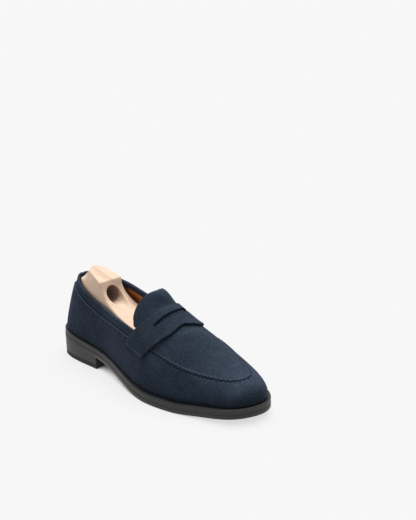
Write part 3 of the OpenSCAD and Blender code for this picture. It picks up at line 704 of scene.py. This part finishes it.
def lookup(v, table):
    """Value of a table at v, along a curve without corners."""
    fine = np.linspace(table[0, 0] - 0.03, table[-1, 0] + 0.03, 400)
    return np.interp(v, fine, smooth_row(np.interp(fine, table[:, 0], table[:, 1]), 9))


def smooth_row(values, width):
    padded = np.concatenate([np.repeat(values[:1], width), values, np.repeat(values[-1:], width)])
    return np.convolve(padded, np.ones(2 * width + 1) / (2 * width + 1), "valid")


def strap_front(v, s):
    return np.where(np.asarray(s) < 0, np.interp(v, *STRAP_FRONT_OUTER.T), np.interp(v, *STRAP_FRONT_INNER.T))


def apron():
    rows = 420
    r = np.linspace(0, 1, rows)[:, None]
    start = np.linspace(0, 1, 15)[:-1]
    columns = len(start) + len(NEAR)
    share = np.zeros((rows, columns))
    sides = []
    for s in (-1, 1):
        k = np.repeat(5.9 + r * 4.1, columns, axis=1)
        for _ in range(3):
            low = wall_v(k, np.full(k.shape, s)) + 0.004
            speed = v_speed(k, np.full(k.shape, s), low)
            edge = 1 - NEAR[None, ::-1] / speed[:, len(start):] / (1 - low[:, len(start):])
            share[:, len(start):] = edge
            share[:, :len(start)] = start * edge[:, :1]
            k0 = strap_front(1 + (0.39 - 1) * share, s) - 0.22
            k = k0 + (10 - k0) * r
        low = wall_v(k, np.full(k.shape, s)) + 0.004
        v = 1 + (low - 1) * share
        away = (v - low) * v_speed(k, np.full(k.shape, s), low)
        sides.append((k, np.full(k.shape, s), v, away))
    left, right = sides
    k, s, v, away = (np.concatenate([a[:, ::-1], b[:, 1:]], axis=1) for a, b in zip(left, right))
    u = np.where(s < 0, k, 20 - k)
    raised = ridge_height(u, away)
    # Painted highlight on the apron's ridge and painted shade in the needle holes
    pale = 0.15 * seam_shown(u) * bell(away, 1.2, 0.7) - seam_holes(u, away)
    return sheet("apron_panel", surface(k, s, v, raised), surface(k, s, v, 0.6 * raised - SUEDE_T), SUEDE,
                 bevel=0.3, nodes=["apron"], pale=pale)


def saddle_strap():
    half = joined((0, 0.1, 8), (0.1, 0.446, 16), (0.446, 1, 30))
    v_half = STRAP_V + (1 - STRAP_V) * half
    v = np.concatenate([v_half, v_half[::-1][1:]])
    s = np.concatenate([-np.ones(len(v_half)), np.ones(len(v_half) - 1)])
    rear, front = lookup(v, STRAP_REAR), strap_front(v, s)
    wide = SLIT_HALF * np.sqrt(np.maximum(0.02, 1 - ((1 - v) / (1 - SLIT_V)) ** 2))
    plain = rear + (front - rear) * (0.5 - 0.12 * ramp(0.3, SLIT_V, v))
    middle = np.where(v < SLIT_V, plain, lookup(v, SLIT))
    across = np.linspace(0, 1, 13)
    k = np.concatenate([rear + (middle - wide - rear) * t[None] for t in across[:, None]]
                       + [middle + wide + (front - middle - wide) * t[None] for t in across[:, None]])
    k = k.reshape(2 * len(across), -1)
    share = (k - rear) / (front - rear)
    dome = 0.35 * (1 - (2 * share - 1) ** 4)
    # The front edge stands a little off the apron
    lift = 0.8 * ramp(0.75, 1, share) * ramp(0.3, 0.45, v)
    vv, ss = np.broadcast_to(v, k.shape), np.broadcast_to(s, k.shape)
    columns = k.shape[1]
    slit_j = int(np.argmax(v_half >= SLIT_V))
    gap = [len(across) - 1, len(across), slit_j, columns - 1 - slit_j]
    # Painted light: the strap's cut edges and the slit's edges are dark, partly the raw cut edge and partly
    # painted shade under the edges and in the slit; the rows just inside get a painted highlight on the
    # rolled edge
    rim = np.zeros(k.shape)
    rim[[0, -1]] = -0.7
    rim[1] = 0.25
    rim[[len(across) - 1, len(across)], slit_j:columns - slit_j] = -0.8
    rim[:, [0, -1]] = -0.6
    rim[1:-1, [1, -2]] = 0.4
    outer = surface(k, ss, vv, STRAP_H + STRAP_T + dome + lift)
    inner = surface(k, ss, vv, STRAP_H + lift)
    return sheet("saddle_strap_band", outer, inner, SUEDE, gap=gap, bevel=0.4, nodes=["saddle_strap"],
                 pale=rim)


def tongue_grid(h):
    rows = joined((0, 0.3, 22), (0.3, 1, 14))
    t = np.linspace(-1, 1, 121)
    v = 1 + (0.44 - 1) * np.abs(t)
    rear = lookup(v, TONGUE_REAR)
    front = strap_front(v, t) - 0.34
    k = rear + (front - rear) * rows[:, None]
    vv, ss = np.broadcast_to(v, k.shape), np.broadcast_to(np.where(t < 0, -1, 1), k.shape)
    free = np.clip(rows / 0.5, 0, 1)
    lift = ramp(0.5, 0.95, vv) * (1.6 * (1 - ramp(0, 1, free)) + 2 * np.sin(math.pi * free**0.8))[:, None]
    return surface(k, ss, vv, h + lift)


def tongue():
    outer = tongue_grid(0)
    # Painted highlight along the tongue's rear edge
    rim = np.zeros(outer.shape[:2])
    rim[0] = 0.3
    return sheet("tongue_flap", outer, tongue_grid(-SUEDE_T), SUEDE, bevel=0.35, nodes=["tongue"], pale=rim)


def tube(name, rows, material, **more):
    """Solid with one closed outline per row, capped at both ends."""
    m, n = rows.shape[:2]
    faces = [(i * n + j, (i + 1) * n + j, (i + 1) * n + (j + 1) % n, i * n + (j + 1) % n)
             for i in range(m - 1) for j in range(n)]
    faces += [tuple(range(n)), tuple((m - 1) * n + j for j in reversed(range(n)))]
    return add_object(name, rows.reshape(-1, 3), faces, material, **more)


def topline_collar():
    u = np.linspace(-COLLAR_END, COLLAR_END, 421)
    k, s = around(u)
    top = topline_v(k, s)
    foot = wall_v(k, s) - 0.07
    speed = v_speed(k, s, top)
    deep = TURNED_H - TURNED_T
    middle, half = (UNDER_H + deep) / 2, (UNDER_H - deep) / 2
    round_v = 0.9 / speed
    section = [(foot + (top - round_v - foot) * t, UNDER_H) for t in np.linspace(0, 1, 12)]
    for a in np.linspace(0, math.pi, 13)[1:-1]:
        section.append((top - round_v * (1 - math.sin(a)), middle + half * math.cos(a)))
    section += [(top - round_v - (0.06 - round_v) * t, deep) for t in np.linspace(0, 1, 6)]
    section += [(top - 0.06, TURNED_H), (top - 0.03, TURNED_H), (top - 0.03, UNDER_H - COLLAR_T),
                (foot, UNDER_H - COLLAR_T)]
    v = np.stack([q[0] for q in section], axis=1)
    h = np.broadcast_to([q[1] for q in section], v.shape)
    kk, ss = np.repeat(k[:, None], v.shape[1], axis=1), np.repeat(s[:, None], v.shape[1], axis=1)
    below = (top[:, None] - v) * speed[:, None]
    outside = h > middle
    puff = 0.3 * bell(below, 1.2, 1.5) * outside
    # Painted shade in the crease where the collar meets the wall
    crease = (v - wall_v(k, s)[:, None]) * speed[:, None]
    pale = -0.9 * bell(crease, 0.2, 0.7) * outside
    return tube("topline_binding", surface(kk, ss, v, h + puff), SUEDE, nodes=["topline_collar"],
                pale=pale.reshape(-1))


def lining_sheets():
    u = np.linspace(-QUARTER_END, QUARTER_END, 181)
    k, s = around(u)
    top = topline_v(k, s) - 0.035
    v = 0.01 + (top - 0.01)[:, None] * np.linspace(0, 1, 26)
    kk, ss = np.repeat(k[:, None], v.shape[1], axis=1), np.repeat(s[:, None], v.shape[1], axis=1)
    sheet("quarter_lining_leather", surface(kk, ss, v, LINING_H), surface(kk, ss, v, LINING_H - LINING_T),
          LINING, bevel=0, nodes=["quarter_lining"])
    k = np.repeat(np.linspace(QUARTER_END + 0.1, 10, 80)[:, None], 61, axis=1)
    t = np.linspace(-1, 1, 61)
    v = np.broadcast_to(1 + (0.01 - 1) * np.abs(t), k.shape)
    s = np.broadcast_to(np.where(t < 0, -1, 1), k.shape)
    sheet("vamp_lining_leather", surface(k, s, v, LINING_H), surface(k, s, v, LINING_H - LINING_T),
          LINING, bevel=0, nodes=["vamp_lining"])


# ---- bottom ----


def lifted(p, h):
    return np.concatenate([p, (sole_z(p[..., 0]) + h)[..., None]], axis=-1)


def sole_plate(name, out, low, high, material, node, bevel=0.45):
    """Sheet under the whole foot, which stands out by the sole's edge less out."""
    k = np.linspace(0.0, 10.0, 161)
    rims = [outline(k, np.full(k.shape, s), edge_out(k, np.full(k.shape, s)) - out) for s in (-1, 1)]
    t = np.array([0, 0.03, 0.1, 0.3, 0.5, 0.7, 0.9, 0.97, 1])[None, :, None]
    plan = rims[0][:, None] * (1 - t) + rims[1][:, None] * t
    pale = np.zeros(plan.shape[:2])
    # Painted light: the outsole's lower rim at the waist is made lighter, partly a worn edge and partly a
    # painted highlight where the bevel catches the light
    waist = ramp(2.6, 3.2, k) * (1 - ramp(4.6, 5.4, k)) if low == 0 else 0 * k
    obj = sheet(name, lifted(plan, high), lifted(plan, low), material, bevel=0, nodes=[node], pale=pale)
    shade = obj.data.attributes["edge"].data
    for i, vertex in enumerate(obj.data.vertices):
        bottom = vertex.co.z / MM < sole_z(vertex.co.x / MM) + low + 0.5
        outermost = abs(vertex.co.y / MM - CENTRE[1]) > 8
        place = float(np.interp(vertex.co.x / MM, rims[0][:, 0], waist))
        shade[i].value = 0.6 * place * bottom * outermost
    round_edges(obj, bevel)
    return obj


def sole_band(name, u0, u1, out, low, high, inner, material, node):
    u = np.linspace(u0, u1, int(30 * (u1 - u0)))
    k, s = around(u)
    far = outline(k, s, edge_out(k, s) - out)
    near = outline(k, s, np.full(k.shape, inner))
    t = np.array([0, 0.12, 0.3, 0.6, 1])[None, :, None]
    plan = far[:, None] * (1 - t) + near[:, None] * t
    return sheet(name, lifted(plan, high), lifted(plan, low), material, bevel=0.5, nodes=[node])


HEEL_BREAST_X = -74.0
RAND_END_X = HEEL_BREAST_X + 10
TOP_PIECE_T = 5.5


def heel_layer(name, low, high, taper, material, node):
    n = 60
    last = [station_at(HEEL_BREAST_X, s) for s in (-1, 1)]
    i = np.linspace(0, 1, n)
    rims = []
    for end, s in zip(last, (-1, 1)):
        k = end * i
        side = np.full(k.shape, s)
        rims.append(outline(k, side, edge_out(k, side) - taper))
    t = np.concatenate([[0, 0.03, 0.1], np.linspace(0.2, 0.8, 7), [0.9, 0.97, 1]])[None, :]
    plan = rims[0][:, None] * (1 - t[..., None]) + rims[1][:, None] * t[..., None]
    plan[..., 0] -= 3 * 4 * t * (1 - t) * (i**4)[:, None]
    layers = [np.concatenate([plan, f(plan[..., 0])[..., None]], axis=-1) for f in (high, low)]
    return sheet(name, layers[0], layers[1], material, bevel=0.4, nodes=[node])


def heel():
    def share(q):
        return lambda x: TOP_PIECE_T + (sole_z(x) - TOP_PIECE_T) * q

    heel_layer("heel_top_rubber", lambda x: 0 * x, share(0), 1.0, RUBBER, "heel_top_piece")
    for name, q, taper in (("lower", 0, 0.7), ("middle", 1 / 3, 0.5), ("upper", 2 / 3, 0.3)):
        heel_layer(f"heel_lift_{name}_leather", share(q), share(q + 1 / 3), taper, HEEL_EDGE,
                   f"heel_lift_{name}")


def bottom():
    sole_plate("outsole_leather", 0.0, 0, OUTSOLE_T, EDGE, "outsole", bevel=0.8)
    sole_plate("midsole_leather", 0.3, OUTSOLE_T, OUTSOLE_T + MIDSOLE_T, EDGE, "midsole")
    ends = [station_at(RAND_END_X, s) for s in (-1, 1)]
    low = OUTSOLE_T + MIDSOLE_T
    sole_band("welt_strip", ends[0] + 0.01, 20 - ends[1] - 0.01, 0.1, low, STACK_T, -7, EDGE, "welt")
    sole_band("heel_rand_strip", -ends[1], ends[0], 0.1, low, STACK_T, -7, EDGE, "heel_rand")
    heel()


# ---- threads ----


def thread_bars(name, paths, width, height, material, node):
    """A rounded bar of thread along each short path. A path is points with the outward direction at each."""
    sides = 8
    angle = np.linspace(0, 2 * math.pi, sides, endpoint=False)
    verts, faces = [], []
    for points, up in paths:
        m = len(points)
        along = unit(np.gradient(points, axis=0))
        side = unit(np.cross(up, along))
        swell = np.sqrt(np.clip(1 - np.linspace(-1, 1, m) ** 4, 0.06, 1))
        first = len(verts)
        for p, a, b, f in zip(points, side, up, swell):
            for c in angle:
                verts.append(p + a * (width / 2 * f * math.cos(c)) + b * (height / 2 * f * math.sin(c)))
        for i in range(m - 1):
            for j in range(sides):
                q = first + i * sides
                faces.append((q + j, q + sides + j, q + sides + (j + 1) % sides, q + (j + 1) % sides))
        faces.append(tuple(first + j for j in range(sides)))
        faces.append(tuple(first + (m - 1) * sides + j for j in reversed(range(sides))))
    return add_object(name, np.array(verts), faces, material, nodes=[node])


def skin_row(u0, u1, rise, h, length):
    """Stitches end to end along height rise(k, s) on the skin."""
    u = np.linspace(u0, u1, 801)
    k, s = around(u)
    paths = []
    run = run_along(surface(k, s, rise(k, s), np.zeros(u.shape)))
    for middle in np.arange(PITCH / 2, run[-1], PITCH):
        d = np.linspace(-length / 2, length / 2, 7)
        uu = np.interp(middle + d, run, u)
        kk, ss = around(uu)
        v = rise(kk, ss)
        _, n = skin(kk, ss, v, 0, normals=True)
        arch = 0.12 * (1 - (2 * d / length) ** 2)
        paths.append((surface(kk, ss, v, h + arch), n))
    return paths


def apron_seam():
    """Thread that crosses the ridge, in each place where it is pulled in."""
    first = math.ceil(np.interp(SEAM_START, SEAM_U, SEAM_RUN) / APRON_PITCH)
    last = math.floor(np.interp(SEAM_END, SEAM_U, SEAM_RUN) / APRON_PITCH)
    paths = []
    for i in range(first, last + 1):
        u = np.full(11, np.interp(i * APRON_PITCH, SEAM_RUN, SEAM_U))
        k, s = around(u)
        seam_v = wall_v(k, s)
        d = np.linspace(-0.9, 2.1, 11)
        v = seam_v + d / v_speed(k, s, seam_v)
        _, n = skin(k, s, v, 0, normals=True)
        paths.append((surface(k, s, v, ridge_height(u, d) + 0.1), n))
    thread_bars("apron_thread", paths, 0.8, 0.5, THREAD, "apron_stitches")


def sole_threads():
    u = np.linspace(station_at(RAND_END_X, -1) + 0.1, 19.9 - station_at(RAND_END_X, 1), 1601)

    def at(u):
        k, s = around(u)
        out = edge_out(k, s)
        return lifted(outline(k, s, out - np.minimum(1.6, out / 2)), STACK_T)

    paths = []
    run = run_along(at(u))
    for middle in np.arange(PITCH / 2, run[-1], PITCH):
        d = np.linspace(-1.1, 1.1, 7)
        p = at(np.interp(middle + d, run, u))
        p[:, 2] += 0.15 * (1 - (d / 1.1) ** 2)
        paths.append((p, np.tile([0.0, 0.0, 1.0], (7, 1))))
    thread_bars("welt_thread_row", paths, 0.7, 0.5, WELT_THREAD, "welt_stitches")


def threads():
    apron_seam()
    row = skin_row(-4.6, 4.6, lambda k, s: wall_v(k, s) - 1.7 / v_speed(k, s, wall_v(k, s)), -0.3, STITCH)
    thread_bars("collar_thread", row, 0.5, 0.35, THREAD, "collar_stitches")
    ends = []
    for u0, u1 in ((4.82, 5.5), (14.5, 15.18)):
        ends += skin_row(u0, u1, lambda k, s: STRAP_V + 2.2 / v_speed(k, s, np.full(k.shape, STRAP_V)),
                         STRAP_H + STRAP_T + 0.25, STITCH)
    thread_bars("strap_thread", ends, 0.5, 0.35, THREAD, "strap_stitches")
    sole_threads()


# ---- shoe tree ----

HINGE_X, LEAF_Z, LEAF_T, KNUCKLE_R = 4.0, 22.0, 1.5, 3.5
HINGE_Z = LEAF_Z + KNUCKLE_R
KNUCKLE_CLEAR = 4.3
TREE_Y = CENTRE[1] - 8
LAYER_GAP, INSOLE_T, SOCK_T, TREE_AIR = 0.05, 2.2, 1.0, 0.4
TREE_FLOOR = STACK_T + LAYER_GAP + INSOLE_T + LAYER_GAP + SOCK_T + TREE_AIR
THROAT_H = TURNED_H - TURNED_T - 0.6
SWING_Y = CENTRE[1] + 13.2
SHOULDER_Z = 94.5
NOSE_X = -16.0
EDGE_IN = 1.2
BLOCK_TOP = np.array([
    (-128, 87.5), (-116, 104.5), (-80, 98), (-79, 96), (-76.5, 90.5), (-73.5, 86), (-70, 82.3), (-66, 79.2),
    (-60, 76.4), (-52, 73.3), (-44, 71), (-35, 69.2), (-26, 67.6), (-17, 65.6), (-10, 62.8), (-5, 59),
    (-2, 54)])
KNOB_OUTER = np.array([(-116, 4), (-114, -1), (-110, -6.5), (-95, -12), (-80, -17)])
KNOB_INNER = np.array([(-116, 8), (-113.5, 12), (-109, 14.3), (-103, 16), (-96, 16.4), (-80, 15.5)])


def throat(s):
    k = np.linspace(0, 5.1, 60)
    side = np.full(k.shape, s)
    return skin(k, side, topline_v(k, side) - 0.004, THROAT_H)[:, :2]


def block_rows():
    """Closed outline of the heel block at places along the shoe."""
    outer, inner = throat(-1), throat(1)
    rear = outer[0, 0]
    x = np.concatenate([rear + np.array([0.02, 0.3, 0.8, 1.5, 2.5, 4, 6, 8.5, 10.5]),
                        [-116, -115, -114, -112, -110, -108, -105, -103, -99, -96, -92, -88, -84, -80, -79.5],
                        np.arange(-79, -16, 1.5), np.arange(-15, -2, 1.0), [-2]])
    narrow = np.sqrt(1 - 0.8 * (np.maximum(x - NOSE_X, 0) / 14) ** 2)
    a = TREE_Y * (1 - narrow) + np.interp(x, outer[:, 0], outer[:, 1]) * narrow
    b = TREE_Y * (1 - narrow) + np.minimum(np.interp(x, inner[:, 0], inner[:, 1]), SWING_Y) * narrow
    top = np.interp(x, *BLOCK_TOP.T)
    base = np.minimum(top - 2, 79 + 7.5 * ramp(80, 110, -x) + 4.5 * ramp(109, 118, -x))
    low = np.maximum(sole_z(x) + TREE_FLOOR, LEAF_Z + LEAF_T)
    start = np.array([[rear, outer[0, 1]]])
    edges = []
    for s, side, table in ((-1, a, KNOB_OUTER), (1, b, KNOB_INNER)):
        table = np.concatenate([start, table])
        edges.append(np.where(x > FINGER_FRONT_X, side - s * EDGE_IN, np.interp(x, *table.T)))
    knob = ramp(92, 98, top)
    half = (base + top) / 2
    size = np.minimum(1, (b - a) / 8)
    corner = [(0, 8), (0.6, 4.8), (1.5, 2.5), (2.4, 1), (3.5, 0)]
    rows = []
    for i in range(len(x)):
        c, d = edges[0][i], edges[1][i]
        shoulder = ((b[i] + d) / 2 * (1 - knob[i]) + b[i] * knob[i],
                    half[i] * (1 - knob[i]) + SHOULDER_Z * knob[i])
        row = [(a[i], base[i]), ((a[i] + c) / 2, half[i]), (c, top[i]), (c + (d - c) / 4, top[i]),
               ((c + d) / 2, top[i]), (d + (c - d) / 4, top[i]), (d, top[i]), shoulder,
               (b[i], base[i]), (b[i], (base[i] + low[i] + 8) / 2)]
        row += [(b[i] - y * size[i], low[i] + z * size[i]) for y, z in corner]
        row += [(a[i] + y * size[i], low[i] + z * size[i]) for y, z in corner[::-1]]
        row.append((a[i], (base[i] + low[i] + 8) / 2))
        rows.append([(x[i], y, z) for y, z in row])
    return np.array(rows)


def cylinder_cut(name, centre, radius, length, axis):
    bm = bmesh.new()
    turn = Matrix.Rotation(math.pi / 2, 4, "Y" if axis == "X" else "X")
    bmesh.ops.create_cone(bm, cap_ends=True, segments=96, radius1=radius * MM, radius2=radius * MM,
                          depth=length * MM, matrix=Matrix.Translation(Vector(centre) * MM) @ turn)
    mesh = bpy.data.meshes.new(name)
    bm.to_mesh(mesh)
    bm.free()
    obj = bpy.data.objects.new(name, mesh)
    bpy.context.scene.collection.objects.link(obj)
    return obj


def carve(obj, cutters):
    for cutter in cutters:
        mod = obj.modifiers.new("cut", "BOOLEAN")
        mod.operation = "DIFFERENCE"
        mod.solver = "EXACT"
        mod.object = cutter
    settle(obj)
    for cutter in cutters:
        bpy.data.objects.remove(cutter)


def sanded(obj, voxel, rounds):
    """Softens every edge of a solid, as sanding does."""
    mod = obj.modifiers.new("even", "REMESH")
    mod.mode = "VOXEL"
    mod.voxel_size = voxel * MM
    mod.adaptivity = 0
    mod = obj.modifiers.new("sand", "SMOOTH")
    mod.factor = 0.5
    mod.iterations = rounds
    settle(obj)


def tree_block():
    block = tube("tree_heel_wood", block_rows(), BEECH, body=TREE, nodes=["tree_heel_block"])
    hole = cylinder_cut("hole", (FINGER_BACK_X + 40, FINGER_Y, FINGER_Z), FINGER_R, 80, "X")
    knuckle = cylinder_cut("knuckle", (HINGE_X, TREE_Y, HINGE_Z), KNUCKLE_CLEAR, 90, "Y")
    carve(block, [hole, knuckle])
    sanded(block, 0.75, 3)


def tree_forepart():
    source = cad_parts["tree_forepart"]
    obj = bpy.data.objects.new("tree_forepart_wood", source.data.copy())
    bpy.context.scene.collection.objects.link(obj)
    obj.data.materials.clear()
    obj.data.materials.append(BEECH)
    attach(obj, SHOE)
    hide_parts("tree_forepart")
    sanded(obj, 1.3, 5)


# ---- CAD nodes that stay ----

KEPT = {
    "insole": RAW, "insole_rib": BOARD, "sock_lining": LINING, "tongue_lining": LINING, "shank": STEEL,
    "heel_nails": BRASS, "cork_filler": CORK, "heel_counter": BOARD, "toe_puff": BOARD,
    "side_interlining": BOARD, "tree_hinge_front_leaf": STEEL, "tree_hinge_rear_leaf": STEEL,
    "tree_hinge_pin": STEEL, "tree_front_screws": BRASS, "tree_rear_screws": BRASS,
}


def dress_kept_nodes():
    for name, material in KEPT.items():
        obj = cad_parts[name]
        if not obj.material_slots:
            obj.data.materials.append(material)
        for place in obj.material_slots:
            place.material = material


# ---- floor, light and camera ----

WORLD = 0.3
SUN = 3.9
FLOOR_ALBEDO = 0.1
FLOOR_GLOW = 0.783
# Floor that has something this close above it is in the deepest painted shadow, in metres
CONTACT = 0.03


def floor():
    """Plain floor that glows as a light table does, with a painted shadow right under the sole where the shoe
    is near, faded towards the toe. Its shadows from the lamps are faint.
    """
    bm = bmesh.new()
    bmesh.ops.create_grid(bm, x_segments=1, y_segments=1, size=40)
    mesh = bpy.data.meshes.new("floor")
    bm.to_mesh(mesh)
    bm.free()
    obj = bpy.data.objects.new("floor", mesh)
    bpy.context.scene.collection.objects.link(obj)
    n = Nodes("pale_floor", "floor", roughness=0.95, Specular_IOR_Level=0.0, Emission_Strength=FLOOR_GLOW)
    n.bsdf.inputs["Base Color"].default_value = grey(FLOOR_ALBEDO)
    # Painted contact shadow: the floor's glow is dimmed where the shoe is near above it
    near = n.add("ShaderNodeAmbientOcclusion", samples=16)
    near.inputs["Distance"].default_value = CONTACT
    glow_with_painted_shadow = n.colors(near.outputs["AO"], (0.12, grey(0.04)), (0.42, grey(1)))
    # The painted shadow fades out towards the toe, by place along X
    toe = n.colors(n.parts(n.place)["X"], (0.05, grey(0)), (0.1, grey(0.85)))
    glow_with_painted_shadow = n.mix(toe, glow_with_painted_shadow, grey(1.0))
    n.link(glow_with_painted_shadow, n.bsdf.inputs["Emission Color"])
    obj.data.materials.append(n.mat)


def sun(name, direction, power, softness):
    """Soft, even light from one direction."""
    data = bpy.data.lights.new(name, "SUN")
    data.energy = power
    data.angle = math.radians(softness)
    obj = bpy.data.objects.new(name, data)
    bpy.context.scene.collection.objects.link(obj)
    obj.rotation_euler = Vector(direction).to_track_quat("Z", "Y").to_euler()


def lights():
    world = bpy.data.worlds.new("studio")
    bpy.context.scene.world = world
    world.use_nodes = True
    world.node_tree.nodes["Background"].inputs["Color"].default_value = (1, 1, 1, 1)
    world.node_tree.nodes["Background"].inputs["Strength"].default_value = WORLD
    sun("overhead", (-0.2, 0.25, 1), SUN, 50)
    bpy.context.scene.view_settings.view_transform = "Standard"


CAMERA_AZIMUTH = math.radians(45.46)
CAMERA_HEIGHT = math.radians(18.49)
CAMERA_DISTANCE = 1600.0
CAMERA_LENS = 101.2


def camera():
    a, e = CAMERA_AZIMUTH, CAMERA_HEIGHT
    back = Vector((math.sin(a) * math.cos(e), -math.cos(a) * math.cos(e), math.sin(e)))
    right = Vector((math.cos(a), math.sin(a), 0))
    up = back.cross(right)
    look = Vector((CENTRE[0], CENTRE[1], 40)) + right * 50.8 + up * 94.6
    data = bpy.data.cameras.new("camera")
    data.lens = CAMERA_LENS
    data.sensor_width = 36
    data.clip_end = 50
    obj = bpy.data.objects.new("camera", data)
    bpy.context.scene.collection.objects.link(obj)
    place = Matrix((right, up, back)).transposed().to_4x4()
    place.translation = (look + back * CAMERA_DISTANCE) * MM
    obj.matrix_world = place
    bpy.context.scene.camera = obj


camera()
vamp_wall()
apron()
saddle_strap()
tongue()
topline_collar()
lining_sheets()
bottom()
threads()
tree_block()
tree_forepart()
dress_kept_nodes()
floor()
lights()
